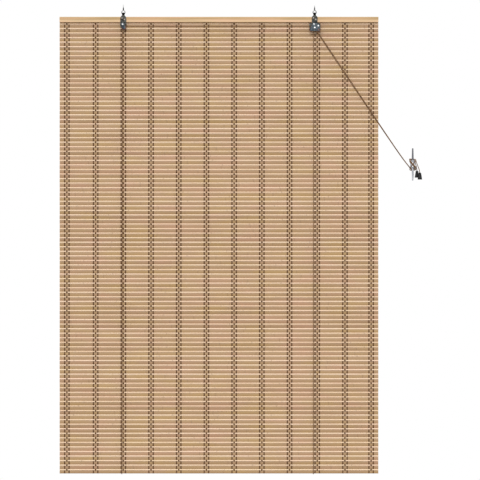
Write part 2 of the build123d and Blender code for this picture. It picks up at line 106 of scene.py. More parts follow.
def add_node(tree, kind, sockets=None, stops=(), **settings):
    """Add a node with its settings; a socket takes a value or a link, and a ramp takes its stops."""
    node = tree.nodes.new(kind)
    for name, value in settings.items():
        setattr(node, name, value)
    for index, (place, colour) in enumerate(stops):
        element = node.color_ramp.elements[index] if index < 2 else node.color_ramp.elements.new(place)
        element.position = place
        element.color = colour
    for name, value in (sockets or {}).items():
        if isinstance(value, bpy.types.NodeSocket):
            tree.links.new(value, node.inputs[name])
        else:
            node.inputs[name].default_value = value
    return node


sky = world.node_tree
rays = add_node(sky, "ShaderNodeLightPath")
seen = add_node(sky, "ShaderNodeMath", {
    0: rays.outputs["Is Camera Ray"], 1: rays.outputs["Is Glossy Ray"]}, operation="MAXIMUM")
shown = add_node(sky, "ShaderNodeMath", {
    0: seen.outputs[0], 1: rays.outputs["Is Transmission Ray"]}, operation="MAXIMUM")
towards = add_node(sky, "ShaderNodeTexCoord")
height = add_node(sky, "ShaderNodeSeparateXYZ", {0: towards.outputs["Generated"]})
fill = add_node(sky, "ShaderNodeMapRange", {
    "Value": height.outputs["Z"], "From Min": -1.0, "From Max": 1.0,
    "To Min": SKY_BELOW, "To Max": SKY_ABOVE})
level = add_node(sky, "ShaderNodeMapRange", {
    "Value": shown.outputs[0], "To Min": fill.outputs["Result"], "To Max": 1.0})
sky.nodes["Background"].inputs["Color"].default_value = (1.0, 1.0, 1.0, 1.0)
sky.links.new(level.outputs["Result"], sky.nodes["Background"].inputs["Strength"])
print("sky from", SKY_BELOW, "below to", SKY_ABOVE, "above")

# %% [markdown]
# ## Floor
# The blind hangs from a ceiling, so nothing stands on the floor. It is a plain pale sheet, a tall
# room's height below the eyes, and it stays out of the picture's own frame, which shows only white.

# %% Floor
FLOOR_LEVEL = -3200.0 * MM
FLOOR_SIDE = 2000.0 * MM
floor_mesh = bpy.data.meshes.new("floor")
sheet = bmesh.new()
bmesh.ops.create_grid(sheet, x_segments=1, y_segments=1, size=FLOOR_SIDE / 2,
                      matrix=Matrix.Translation((PICTURE_MIDDLE.x, 0.0, FLOOR_LEVEL)))
sheet.to_mesh(floor_mesh)
sheet.free()
floor = bpy.data.objects.new("floor", floor_mesh)
scene.collection.objects.link(floor)
print("floor at", FLOOR_LEVEL)

# %% [markdown]
# ## Finishes
# Colours are picked as sRGB hex codes, as a picture editor shows them, and shaders work in linear
# light, so one function turns one into the other. Another starts a material with its plain shader
# values.

# %% Colours and shaders


def linear(code):
    """Return the linear colour of an sRGB hex code."""
    parts = [int(code[place:place + 2], 16) / 255 for place in (1, 3, 5)]
    return [part / 12.92 if part <= 0.04045 else ((part + 0.055) / 1.055) ** 2.4 for part in parts] + [1.0]


def new_finish(name, **values):
    """Start a material and return it with its node tree and its shader."""
    material = bpy.data.materials.new(name)
    material.use_nodes = True
    shader = material.node_tree.nodes["Principled BSDF"]
    for socket, value in values.items():
        shader.inputs[socket.replace("_", " ")].default_value = value
    return material, material.node_tree, shader


floor_paper, _, floor_shader = new_finish("pale_paper", Roughness=0.9)
floor_shader.inputs["Base Color"].default_value = linear("#F2F1EE")
floor_mesh.materials.append(floor_paper)
print("floor finish:", floor_paper.name)

# %% [markdown]
# ## Braided cord
# The cords are thin round polyester braid in brown, with darker flecks where strands dive under each
# other. The braid follows the cord, so the pattern is drawn on the cord's own UV map, measured in
# millimetres along it. A checker turned by 45 degrees is the lattice of crossing strands. A real strand
# is about 0.5 mm wide, which is too fine for the picture, so it is drawn 1 mm wide.

# %% Braided cord finish
CORD_DIAMETER = 2.4 * MM
STRAND_WIDTH = 1.0
STRANDS_ROUND = 8
FLECK_LENGTH = 7.0
FLECKS_ROUND = 3.0

braided_cord, tree, shader = new_finish("braided_polyester_cord", Roughness=0.72, Sheen_Weight=0.15)
along = add_node(tree, "ShaderNodeUVMap")
lattice = add_node(tree, "ShaderNodeMapping", {
    "Vector": along.outputs["UV"],
    "Rotation": (0.0, 0.0, math.radians(45.0)),
    "Scale": (math.sqrt(2.0) / STRAND_WIDTH, math.sqrt(2.0) * STRANDS_ROUND, 1.0)})
strands = add_node(tree, "ShaderNodeTexChecker", {
    "Vector": lattice.outputs["Vector"], "Scale": 1.0,
    "Color1": linear("#8C6437"), "Color2": linear("#6A4723")})
fleck_place = add_node(tree, "ShaderNodeMapping", {
    "Vector": along.outputs["UV"], "Scale": (1.0 / FLECK_LENGTH, FLECKS_ROUND, 1.0)})
flecks = add_node(tree, "ShaderNodeTexNoise", {
    "Vector": fleck_place.outputs["Vector"], "Scale": 1.0, "Detail": 2.0})
fleck_mask = add_node(tree, "ShaderNodeValToRGB", {"Fac": flecks.outputs["Fac"]},
                      stops=((0.42, linear("#000000")), (0.62, linear("#FFFFFF"))))
flecked = add_node(tree, "ShaderNodeMix", {
    0: fleck_mask.outputs["Color"], 6: strands.outputs["Color"], 7: linear("#53381C")}, data_type="RGBA")
raised = add_node(tree, "ShaderNodeBump", {
    "Height": strands.outputs["Fac"], "Strength": 0.5, "Distance": 0.2 * MM})
tree.links.new(flecked.outputs[2], shader.inputs["Base Color"])
tree.links.new(raised.outputs["Normal"], shader.inputs["Normal"])
print("finish:", braided_cord.name)

# %% [markdown]
# ## Cords
# A cord is a smooth line first. Its route is a short list of places, and a NURBS spline of order 3 runs
# along them, so a taut stretch stays straight and a bend is round. The tube around it is made a mesh of
# rings, one at each point of that line. Its UV map counts the rings in equal steps, so each step is
# changed to the millimetres run so far, and the braid is as dense on a long run as in a bend. The
# line's points give the length too. The picture shows no shadow of such thin cords on the mat, so they
# are kept from casting one.

# %% Cord tools


def place_piece(name, mesh, material, replaced=()):
    """Put a mesh in the scene as a piece that rides the blind and stands for the replaced nodes."""
    mesh.materials.clear()
    mesh.materials.append(material)
    piece = bpy.data.objects.new(name, mesh)
    scene.collection.objects.link(piece)
    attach(piece, BODY)
    if replaced:
        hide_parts(*replaced)
    return piece


def curve_mesh(curve):
    """Return the mesh of a curve, and remove the curve."""
    holder = bpy.data.objects.new(curve.name, curve)
    mesh = bpy.data.meshes.new_from_object(holder)
    bpy.data.objects.remove(holder)
    bpy.data.curves.remove(curve)
    return mesh


def spline_mesh(name, route, bevel=0.0, cyclic=False):
    """Return the mesh of a NURBS spline along a route in millimetres, as a line or as a round tube."""
    curve = bpy.data.curves.new(name, "CURVE")
    curve.dimensions = "3D"
    curve.resolution_u = 14
    curve.bevel_depth = bevel
    curve.bevel_resolution = 4
    curve.use_fill_caps = not cyclic
    spline = curve.splines.new("NURBS")
    spline.points.add(len(route) - 1)
    for point, place in zip(spline.points, route):
        point.co = (*(Vector(place) * MM), 1.0)
    spline.order_u = 3
    spline.use_endpoint_u = not cyclic
    spline.use_cyclic_u = cyclic
    return curve_mesh(curve)


def make_cord(name, route, replaced):
    """Make a braided cord along a route; return it with its centreline and its length in metres."""
    line = spline_mesh(name + "_line", route)
    path = [vertex.co.copy() for vertex in line.vertices]
    bpy.data.meshes.remove(line)
    run = [0.0]
    for start, end in zip(path, path[1:]):
        run.append(run[-1] + (end - start).length)
    tube = spline_mesh(name, route, CORD_DIAMETER / 2)
    for corner in tube.uv_layers[0].data:
        corner.uv.x = run[round(corner.uv.x * (len(run) - 1))] / MM
    tube.shade_smooth()
    cord = place_piece(name, tube, braided_cord, replaced)
    cord.visible_shadow = False
    return cord, path, run[-1]


print("cord tools are ready")

# %% [markdown]
# ## Lift cords
# Each lift cord starts at a knot behind the rail, hangs down behind the mat, goes under its lower end
# and comes up in front to its sheave. The left one then crosses to the right block. Both turn down at
# the guide roller. They are held all the way by the mat and the sheaves.

# %% Lift cords
LEFT_LIFT = (
    (-302.5, 3.6, -30.2), (-304.8, 4.4, -1447.9), (-304.8, 4.4, -1458.7), (-304.8, -4.4, -1458.7),
    (-304.8, -4.5, -1447.9), (-302.5, -13.8, -65.7), (-302.5, -13.85, -54.9), (-291.7, -13.85, -54.9),
    (293.9, -13.85, -54.9), (304.7, -13.85, -54.9), (304.45, -13.85, -67.7), (306.85, -13.74, -70.81))
RIGHT_LIFT = (
    (295.9, 3.6, -30.2), (295.9, 4.4, -1447.9), (295.9, 4.4, -1458.7), (295.9, -4.4, -1458.7),
    (295.9, -4.5, -1447.9), (295.9, -19.1, -65.7), (295.9, -19.25, -54.9), (304.7, -19.25, -54.9),
    (304.45, -19.25, -67.7), (306.85, -19.12, -70.81))
for side, route in (("left", LEFT_LIFT), ("right", RIGHT_LIFT)):
    lift, _, lift_length = make_cord(side + "_lift_line", route, [side + "_lift_cord"])
    print(lift.name, round(lift_length, 3), "m")

# %% [markdown]
# ## Knots
# A cord can't slip through its staple or out of its tassel because it ends in an overhand knot. The
# knot is a trefoil, which is that knot with its ends joined. It is pulled tight, so its strands press
# into each other.

# %% Knots
KNOT_REACH = 1.75
KNOT_POINTS = 24
KNOT_CORD = 0.95 * MM


def make_knot(name, centre):
    """Make a tight overhand knot around a place in millimetres."""
    turns = [2 * math.pi * step / KNOT_POINTS for step in range(KNOT_POINTS)]
    route = [(centre[0] + KNOT_REACH / 3 * (math.sin(t) + 2 * math.sin(2 * t)),
              centre[1] + KNOT_REACH / 3 * (math.cos(t) - 2 * math.cos(2 * t)),
              centre[2] - KNOT_REACH * math.sin(3 * t)) for t in turns]
    mesh = spline_mesh(name, route, KNOT_CORD, cyclic=True)
    mesh.shade_smooth()
    return place_piece(name, mesh, braided_cord)


for side, route in (("left", LEFT_LIFT), ("right", RIGHT_LIFT)):
    knot = make_knot(side + "_anchor_knot", route[0])
    print(knot.name, len(knot.data.polygons), "faces")

# %% [markdown]
# ## Pull cords
# The pull cords leave the guide roller side by side, run taut to the cleat, cross over its neck in a
# figure of eight, and hang down to their tassels. They are free cords, so each is declared with its
# real length. The winding is written as offsets from the cleat's middle, turn by turn, as a hand would
# lay it.

# %% Pull cords
CLEAT_MIDDLE = Vector((607.5, 0.0, -487.8))
LEFT_RUN = ((306.85, -13.74, -70.81), (312.2, -13.4, -82.7), (564.3, -0.3, -455.1))
LEFT_WINDING = (
    (-7.4, 1.2, -12.6), (-4.0, -0.8, -17.0), (4.0, -1.4, -17.2), (9.5, -3.4, -13.4), (9.2, -10.8, -7.0),
    (4.9, -11.6, -3.6), (-2.6, -11.6, 5.6), (-6.9, -10.4, 9.0), (-6.7, -3.4, 12.4), (-3.6, -1.3, 14.6),
    (3.4, -1.4, 14.4), (6.6, -2.4, 11.4), (8.8, -3.6, 4.4), (10.7, -2.6, -3.0), (12.5, -0.4, -10.8),
    (13.7, 1.0, -19.2), (13.7, 1.0, -37.4))
RIGHT_RUN = ((306.85, -19.12, -70.81), (316.8, -18.7, -82.7), (565.2, -3.2, -454.8))
RIGHT_WINDING = (
    (-8.0, -1.6, -10.7), (-3.4, -1.4, -14.4), (3.4, -1.4, -14.4), (6.8, -3.6, -12.0), (7.0, -10.8, -8.2),
    (2.6, -11.6, -5.4), (-4.8, -11.6, 3.8), (-9.7, -10.2, 7.4), (-9.4, -2.6, 14.2), (-4.0, -1.4, 17.2),
    (4.0, -1.4, 17.2), (9.4, -2.6, 13.8), (8.6, -12.4, 8.2), (3.8, -14.3, 4.6), (-3.8, -14.3, -4.6),
    (-8.6, -13.0, -9.8), (-9.4, -5.4, -17.0), (-4.8, 1.6, -19.2), (4.8, 1.8, -18.0), (9.6, -1.0, -17.4),
    (10.4, -12.0, -11.4), (3.8, -16.9, -4.6), (-3.8, -16.9, 4.6), (-9.4, -13.4, 11.6), (-10.4, -2.0, 18.0),
    (-4.6, 1.6, 16.6), (4.6, 1.5, 16.6), (9.4, -1.0, 16.0), (11.2, -8.0, 8.4), (14.3, -11.4, -1.2),
    (18.8, -11.7, -12.2), (22.3, -11.5, -22.8), (22.3, -11.5, -43.6))
LEFT_PULL_LENGTH = 0.644
RIGHT_PULL_LENGTH = 0.802


def make_pull_cord(side, run, winding, length, replaced):
    route = [Vector(place) for place in run] + [CLEAT_MIDDLE + Vector(place) for place in winding]
    pull, path, measured = make_cord(side + "_pull_line", route, replaced)
    knot = make_knot(side + "_tail_knot", route[-1])
    print(pull.name, "measures", round(measured, 4), "m, declared", length)


make_pull_cord("left", LEFT_RUN, LEFT_WINDING, LEFT_PULL_LENGTH, ["left_pull_cord", "left_cord_tail"])
make_pull_cord("right", RIGHT_RUN, RIGHT_WINDING, RIGHT_PULL_LENGTH,
               ["right_pull_cord", "right_cord_tail", "cleat_winding"])

# %% [markdown]
# ## Bamboo finishes
# Split bamboo is a bundle of fine fibres that run along the slat, under a smooth, slightly glossy skin.
# Each slat is split from its own part of a cane, so its tone, its warmth and the place of its joints
# differ, and all three are kept on the mesh as an attribute. Fibres are about 0.4 mm wide. They are
# drawn 1 mm wide to show. Long stretches of straw yellow and pink follow the cane's growth. Slats are
# laid in the order in which they are split, so such a stretch spreads over its neighbours. A thin dark
# ring marks each joint. The tone is a sum of the slat's own value, the growth and the fibres, and the
# tint is a sum of its own value and the growth.

# %% Bamboo shader
FIBRE_WIDTH = 1.0 * MM
FIBRE_LENGTH = 90.0 * MM
GROWTH_LENGTH = 130.0 * MM
GROWTH_WIDTH = 26.0 * MM
JOINT_SPACING = 310.0 * MM
JOINT_WIDTH = 2.0 * MM
FIBRE_TONE = 0.55
GROWTH_TONE = 1.3
TONE_LOW = 0.55
TONE_HIGH = 2.25
GROWTH_TINT = 2.0
TINT_LOW = 0.8
TINT_HIGH = 1.7
TINT_SHARE = 0.5
JOINT_SHARE = 0.45


def bamboo(name, tones, tints, roughness):
    """Return a bamboo finish with a ramp of tones, dark to pale, and a ramp of tints, yellow to pink."""
    material, tree, shader = new_finish(name, Roughness=roughness)
    place = add_node(tree, "ShaderNodeTexCoord")
    cane = add_node(tree, "ShaderNodeAttribute", attribute_name="cane")
    nature = add_node(tree, "ShaderNodeSeparateXYZ", {0: cane.outputs["Vector"]})
    fibre_place = add_node(tree, "ShaderNodeMapping", {
        "Vector": place.outputs["Object"],
        "Scale": (1 / FIBRE_LENGTH, 1 / FIBRE_WIDTH, 1 / FIBRE_WIDTH)})
    fibres = add_node(tree, "ShaderNodeTexNoise", {
        "Vector": fibre_place.outputs["Vector"], "Scale": 1.0, "Detail": 3.0, "Roughness": 0.6})
    growth_place = add_node(tree, "ShaderNodeMapping", {
        "Vector": place.outputs["Object"],
        "Scale": (1 / GROWTH_LENGTH, 1 / GROWTH_WIDTH, 1 / GROWTH_WIDTH)})
    growth = add_node(tree, "ShaderNodeTexNoise", {
        "Vector": growth_place.outputs["Vector"], "Scale": 1.0, "Detail": 2.0})
    grown = add_node(tree, "ShaderNodeSeparateColor", {0: growth.outputs["Color"]})
    own_tone = add_node(tree, "ShaderNodeMath", {
        0: grown.outputs["Red"], 1: GROWTH_TONE, 2: nature.outputs["X"]}, operation="MULTIPLY_ADD")
    streaked = add_node(tree, "ShaderNodeMath", {
        0: fibres.outputs["Fac"], 1: FIBRE_TONE, 2: own_tone.outputs[0]}, operation="MULTIPLY_ADD")
    toned = add_node(tree, "ShaderNodeMapRange", {
        "Value": streaked.outputs[0], "From Min": TONE_LOW, "From Max": TONE_HIGH})
    tone = add_node(tree, "ShaderNodeValToRGB", {"Fac": toned.outputs["Result"]},
                    stops=[(step / (len(tones) - 1), linear(colour)) for step, colour in enumerate(tones)])
    own_tint = add_node(tree, "ShaderNodeMath", {
        0: grown.outputs["Blue"], 1: GROWTH_TINT, 2: nature.outputs["Y"]}, operation="MULTIPLY_ADD")
    warmth = add_node(tree, "ShaderNodeMapRange", {
        "Value": own_tint.outputs[0], "From Min": TINT_LOW, "From Max": TINT_HIGH})
    tint = add_node(tree, "ShaderNodeValToRGB", {"Fac": warmth.outputs["Result"]},
                    stops=[(step / (len(tints) - 1), linear(colour)) for step, colour in enumerate(tints)])
    skin_colour = add_node(tree, "ShaderNodeMix", {
        0: TINT_SHARE, 6: tone.outputs["Color"], 7: tint.outputs["Color"]}, data_type="RGBA")
    spot = add_node(tree, "ShaderNodeSeparateXYZ", {0: place.outputs["Object"]})
    stem = add_node(tree, "ShaderNodeMath", {
        0: spot.outputs["X"], 1: 1 / JOINT_SPACING, 2: nature.outputs["Z"]}, operation="MULTIPLY_ADD")
    to_joint = add_node(tree, "ShaderNodeMath", {0: stem.outputs[0], 1: 0.5}, operation="PINGPONG")
    joint = add_node(tree, "ShaderNodeMapRange", {
        "Value": to_joint.outputs[0], "From Max": JOINT_WIDTH / JOINT_SPACING,
        "To Min": JOINT_SHARE, "To Max": 0.0})
    jointed = add_node(tree, "ShaderNodeMix", {
        0: joint.outputs["Result"], 6: skin_colour.outputs[2], 7: linear("#7A5A3C")}, data_type="RGBA")
    skin = add_node(tree, "ShaderNodeBump", {
        "Height": fibres.outputs["Fac"], "Strength": 0.35, "Distance": 0.2 * MM})
    tree.links.new(jointed.outputs[2], shader.inputs["Base Color"])
    tree.links.new(skin.outputs["Normal"], shader.inputs["Normal"])
    return material


print("bamboo marks: fibres", FIBRE_WIDTH, "m wide, a joint every", JOINT_SPACING, "m")

# %% Bamboo finishes
slat_bamboo = bamboo("split_bamboo_slat", ("#866748", "#9B7B58", "#AF8F6B", "#BEA07B"),
                     ("#B28F52", "#AA8862", "#B7896C"), 0.5)
stick_bamboo = bamboo("round_bamboo_stick", ("#D3B08B", "#E6C5A1", "#F3D8BA", "#FBE5CD"),
                      ("#ECCFA2", "#EFCEAA", "#F3CAAD"), 0.42)
print("finishes:", slat_bamboo.name, stick_bamboo.name)

# %% [markdown]
# ## Mat
# From a step away the mat is stripes: a flat slat, then a thin round stick that catches the light. A
# slat is split from the wall of a cane, so its front keeps some of the cane's roundness, and its lower
# half turns away from the light. Slats are cubes stretched to size and cut into strips, which are then
# bent to that crown, with their long edges bevelled together. The yarns press slats and sticks close,
# so only a hair of light is left between them. Sticks are cylinders laid along the mat. Cut ends differ
# by a fraction of a millimetre, as a saw leaves them.

# %% Mat sizes
SLATS = 100
STICK_RADIUS = 2.0 * MM
SLAT_THICKNESS = 1.7 * MM
STICK_GAP = 0.5 * MM
SLAT_SPREAD = 0.46 * MM
SLAT_CROWN = 0.6 * MM
END_SCATTER = 0.9 * MM
mat_low, mat_high = (Vector(corner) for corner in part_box("slat_mat"))
mat_width = mat_high.x - mat_low.x
stick_room = 2 * (STICK_RADIUS + STICK_GAP)
slat_width = (mat_high.z - mat_low.z - (SLATS - 1) * stick_room) / SLATS
pitch = slat_width + stick_room
slat_lows = [mat_low.z + pitch * step for step in range(SLATS)]
slat_levels = [low + slat_width / 2 for low in slat_lows]
stick_levels = [low + slat_width + stick_room / 2 for low in slat_lows[:-1]]
print(len(slat_levels), "slats and", len(stick_levels), "sticks, pitch", round(pitch / MM, 2), "mm")

# %% Slats
CROWN_CUTS = 5
EDGE_ROUND = 0.25 * MM
EDGE_STEPS = 2
SLAT_CREASE = math.radians(50.0)
OWN_TONES = (0.1, 0.9)
OWN_TINTS = (0.1, 0.4)
CANE_SEED = 11
random.seed(CANE_SEED)


def place_canes(name, bm, levels, material):
    """Make the mat's slats or sticks a piece, with each cane's own tone and warmth on its points."""
    mesh = bpy.data.meshes.new(name)
    bm.to_mesh(mesh)
    bm.free()
    natures = [(random.uniform(*OWN_TONES), random.uniform(*OWN_TINTS), random.random()) for _ in levels]
    cane = mesh.attributes.new("cane", "FLOAT_VECTOR", "POINT")
    for vertex, value in zip(mesh.vertices, cane.data):
        nearest = round((vertex.co.z - levels[0]) / pitch)
        value.vector = natures[nearest]
    mesh.shade_smooth()
    return place_piece(name, mesh, material, ["slat_mat"])


slats = bmesh.new()
pressed_width = slat_width + 2 * SLAT_SPREAD
for level in slat_levels:
    length = mat_width - random.uniform(0.0, END_SCATTER)
    stretch = Matrix.Diagonal((length, SLAT_THICKNESS, pressed_width, 1.0))
    bmesh.ops.create_cube(slats, size=1.0, matrix=Matrix.Translation((0.0, 0.0, level)) @ stretch)
long_edges = [edge for edge in slats.edges if edge.calc_length() > mat_width / 2]
upright_edges = [edge for edge in slats.edges
                 if math.isclose(edge.calc_length(), pressed_width, rel_tol=0.01)]
bmesh.ops.subdivide_edges(slats, edges=upright_edges, cuts=CROWN_CUTS, use_grid_fill=True)
for vertex in slats.verts:
    nearest = slat_levels[round((vertex.co.z - slat_levels[0]) / pitch)]
    share = (vertex.co.z - nearest) / (pressed_width / 2)
    if vertex.co.y < 0.0:
        vertex.co.y += SLAT_CROWN * share**2
    vertex.co.z = min(max(vertex.co.z, mat_low.z), mat_high.z)
bmesh.ops.bevel(slats, geom=long_edges, offset=EDGE_ROUND, offset_type="OFFSET", affect="EDGES",
                segments=EDGE_STEPS, profile=0.5, material=-1)
for edge in slats.edges:
    edge.smooth = edge.calc_face_angle(0.0) < SLAT_CREASE
slat_piece = place_canes("bamboo_slats", slats, slat_levels, slat_bamboo)
print(slat_piece.name, len(slat_piece.data.polygons), "faces")

# %% Sticks
STICK_SIDES = 14
STICK_CREASE = math.radians(40.0)
sticks = bmesh.new()
for level in stick_levels:
    length = mat_width - random.uniform(0.0, END_SCATTER)
    laid = Matrix.Translation((0.0, 0.0, level)) @ Matrix.Rotation(math.radians(90.0), 4, "Y")
    bmesh.ops.create_cone(sticks, cap_ends=True, segments=STICK_SIDES, radius1=STICK_RADIUS,
                          radius2=STICK_RADIUS, depth=length, matrix=laid)
for edge in sticks.edges:
    edge.smooth = edge.calc_face_angle(0.0) < STICK_CREASE
stick_piece = place_canes("bamboo_sticks", sticks, stick_levels, stick_bamboo)
print(stick_piece.name, len(stick_piece.data.polygons), "faces")

# %% [markdown]
# ## Warp yarns
# Three yarns in each column tie the mat. The outer two pass in front of each slat and behind each
# stick, and the middle one does the opposite, which leaves the chequered ladders seen on the mat. Each
# yarn is one tube along the weave's places, pressed flat, as a soft twisted yarn is when it is pulled
# tight. The middle yarn swells where it comes out between two slats, so it is wider and laps over their
# edges. The column is made once and moved to each place.

# %% Yarn finish
PLY_LENGTH = 2.2 * MM
PLY_TURN = math.radians(35.0)
warp_yarn, tree, shader = new_finish("twisted_jute_yarn", Roughness=0.9, Sheen_Weight=0.05)
place = add_node(tree, "ShaderNodeTexCoord")
ply_place = add_node(tree, "ShaderNodeMapping", {
    "Vector": place.outputs["Object"], "Rotation": (0.0, PLY_TURN, 0.0),
    "Scale": (1 / PLY_LENGTH, 1 / PLY_LENGTH, 1 / PLY_LENGTH)})
plies = add_node(tree, "ShaderNodeTexNoise", {
    "Vector": ply_place.outputs["Vector"], "Scale": 1.0, "Detail": 2.0})
ply_colour = add_node(tree, "ShaderNodeValToRGB", {"Fac": plies.outputs["Fac"]},
                      stops=((0.3, linear("#4C3017")), (0.7, linear("#704C27"))))
ply_bump = add_node(tree, "ShaderNodeBump", {
    "Height": plies.outputs["Fac"], "Strength": 0.5, "Distance": 0.2 * MM})
tree.links.new(ply_colour.outputs["Color"], shader.inputs["Base Color"])
tree.links.new(ply_bump.outputs["Normal"], shader.inputs["Normal"])
print("finish:", warp_yarn.name)

# %% Yarn tools
YARN_THICKNESS = 0.7 * MM
# A yarn passes these shares of a stick's depth and height on its way round it.
STICK_WRAP = ((0.75, -0.85), (1.0, -0.35), (1.0, 0.35), (0.75, 0.85))
slat_side = (SLAT_THICKNESS + YARN_THICKNESS) / 2
stick_side = STICK_RADIUS + YARN_THICKNESS / 2
rail_low, rail_high = (Vector(corner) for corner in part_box("head_rail"))


def weave(front, lap):
    """Return a yarn's places from foot to head; front is -1 before the slats and 1 behind them.

    A lap widens the yarn's turn round each stick, over the edges of the slats beside it.
    """
    places = []
    for low, level in zip(slat_lows, stick_levels):
        places += [(front * slat_side, low + lap), (front * slat_side, low + slat_width - lap)]
        places += [(-front * stick_side * share, level + (STICK_RADIUS + lap) * turn)
                   for share, turn in STICK_WRAP]
    places += [(front * slat_side, slat_lows[-1]), (front * slat_side, rail_low.z - YARN_THICKNESS / 2)]
    return [Vector((0.0, depth, level)) for depth, level in places]


def make_yarn(places):
    """Return the mesh of one flat yarn along its places."""
    curve = bpy.data.curves.new("yarn", "CURVE")
    curve.dimensions = "3D"
    curve.bevel_depth = YARN_THICKNESS / 2
    curve.bevel_resolution = 1
    curve.use_fill_caps = True
    spline = curve.splines.new("POLY")
    spline.points.add(len(places) - 1)
    for point, place in zip(spline.points, places):
        point.co = (*place, 1.0)
    return curve_mesh(curve)


print("a yarn passes", len(weave(-1.0, 0.0)), "places")

# %% Warp columns
OUTER_WIDTH = 3.8 * MM
MIDDLE_WIDTH = 4.5 * MM
MIDDLE_LAP = 0.6 * MM
YARN_SPACING = 6.9 * MM
# Each row is a yarn: its offset, its side of the slats, its width and its lap.
COLUMN = (
    (-YARN_SPACING, -1.0, OUTER_WIDTH, 0.0),
    (0.0, 1.0, MIDDLE_WIDTH, MIDDLE_LAP),
    (YARN_SPACING, -1.0, OUTER_WIDTH, 0.0))
column = bmesh.new()
for offset, front, width, lap in COLUMN:
    strand_mesh = make_yarn(weave(front, lap))
    strand = bmesh.new()
    strand.from_mesh(strand_mesh)
    bmesh.ops.scale(strand, verts=strand.verts, vec=(width / YARN_THICKNESS, 1.0, 1.0))
    bmesh.ops.translate(strand, verts=strand.verts, vec=(offset, 0.0, 0.0))
    strand.to_mesh(strand_mesh)
    strand.free()
    column.from_mesh(strand_mesh)
    bpy.data.meshes.remove(strand_mesh)
column_mesh = bpy.data.meshes.new("warp_column")
column.to_mesh(column_mesh)
for name in sorted(node for node in nodes if node.startswith("warp_yarns_")):
    low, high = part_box(name)
    mesh = column_mesh.copy()
    mesh.transform(Matrix.Translation(((low[0] + high[0]) / 2, 0.0, 0.0)))
    mesh.shade_smooth()
    place_piece("woven_" + name, mesh, warp_yarn, [name])
column.free()
print("one column has", len(column_mesh.polygons), "faces")
bpy.data.meshes.remove(column_mesh)

# %% [markdown]
# ## Rail wood
# The rail is a planed softwood batten in a honey tone. Its long grain runs along the blind. The face has
# a painted highlight along its top edge, and it is paler along its lower part, under a browner middle.
# Sapwood and heartwood wander in and out of the face, so its tint changes slowly between olive and pink
# along the rail.

# %% Rail wood
GRAIN_LENGTH = 240.0 * MM
GRAIN_WIDTH = 2.4 * MM
HEART_LENGTH = 150.0 * MM
HEART_WIDTH = 8.0 * MM
HEART_SHARE = 0.5
FACE_WANDER = 0.3
rail_wood, tree, shader = new_finish("planed_pine", Roughness=0.55)
place = add_node(tree, "ShaderNodeTexCoord")
grain_place = add_node(tree, "ShaderNodeMapping", {
    "Vector": place.outputs["Object"], "Scale": (1 / GRAIN_LENGTH, 1 / GRAIN_WIDTH, 1 / GRAIN_WIDTH)})
grain = add_node(tree, "ShaderNodeTexNoise", {
    "Vector": grain_place.outputs["Vector"], "Scale": 1.0, "Detail": 4.0, "Roughness": 0.6})
spot = add_node(tree, "ShaderNodeSeparateXYZ", {0: place.outputs["Object"]})
depth = add_node(tree, "ShaderNodeMapRange", {
    "Value": spot.outputs["Z"], "From Min": rail_high.z, "From Max": rail_low.z})
ring = add_node(tree, "ShaderNodeMath", {
    0: grain.outputs["Fac"], 1: FACE_WANDER, 2: depth.outputs["Result"]}, operation="MULTIPLY_ADD")
# The ramp runs from the top edge down. Its first, pale stop is a painted highlight along the top edge; the
# later stops make the browner middle and the paler lower part.
band_and_highlight_colour = add_node(tree, "ShaderNodeValToRGB", {"Fac": ring.outputs[0]}, stops=(
    (0.12, linear("#DEC59C")), (0.28, linear("#BC9869")), (0.62, linear("#C8A073")),
    (0.8, linear("#EBCBA4")), (1.0, linear("#E6C39A"))))
heart_place = add_node(tree, "ShaderNodeMapping", {
    "Vector": place.outputs["Object"], "Scale": (1 / HEART_LENGTH, 1 / HEART_WIDTH, 1 / HEART_WIDTH)})
heart = add_node(tree, "ShaderNodeTexNoise", {
    "Vector": heart_place.outputs["Vector"], "Scale": 1.0, "Detail": 2.0})
heart_colour = add_node(tree, "ShaderNodeValToRGB", {"Fac": heart.outputs["Fac"]}, stops=(
    (0.32, linear("#A89262")), (0.5, linear("#D0AE80")), (0.68, linear("#E2AF90"))))
wood_colour = add_node(tree, "ShaderNodeMix", {
    0: HEART_SHARE, 6: band_and_highlight_colour.outputs["Color"], 7: heart_colour.outputs["Color"]}, data_type="RGBA")
grain_bump = add_node(tree, "ShaderNodeBump", {
    "Height": grain.outputs["Fac"], "Strength": 0.3, "Distance": 0.3 * MM})
tree.links.new(wood_colour.outputs[2], shader.inputs["Base Color"])
tree.links.new(grain_bump.outputs["Normal"], shader.inputs["Normal"])


def dress(material, *names):
    """Give CAD nodes a finish, in the slots that they have."""
    for name in names:
        for material_slot in nodes[name].material_slots:
            material_slot.material = material


dress(rail_wood, "head_rail")
print("finish:", rail_wood.name)

# %% [markdown]
# ## Metals
# Plates and cheeks are pressed steel under a thin dark skin that is worn in patches, and the left and
# inner axles keep the same skin. The spacer rivets and the right block's sheave axle are bright, the
# guide roller's axle is worn brown, and screws and staples are dull. The eyes are zinc plated wire, and
# the cleat is a tumbled zinc casting. All are metals, so their colour sits in the reflection. Patches
# or grit of a few millimetres vary tone and roughness. The eyes' rings are tarnished. The tab's curl and
# the eyes' necks are painted black as shade, and the cleat's upper horn is painted darker as shade, so
# the finish can take darker bands between two heights.

# %% Metal shader
BAND_FADE = 1.2 * MM
SMOOTHER = 0.7
ROUGHER = 1.3


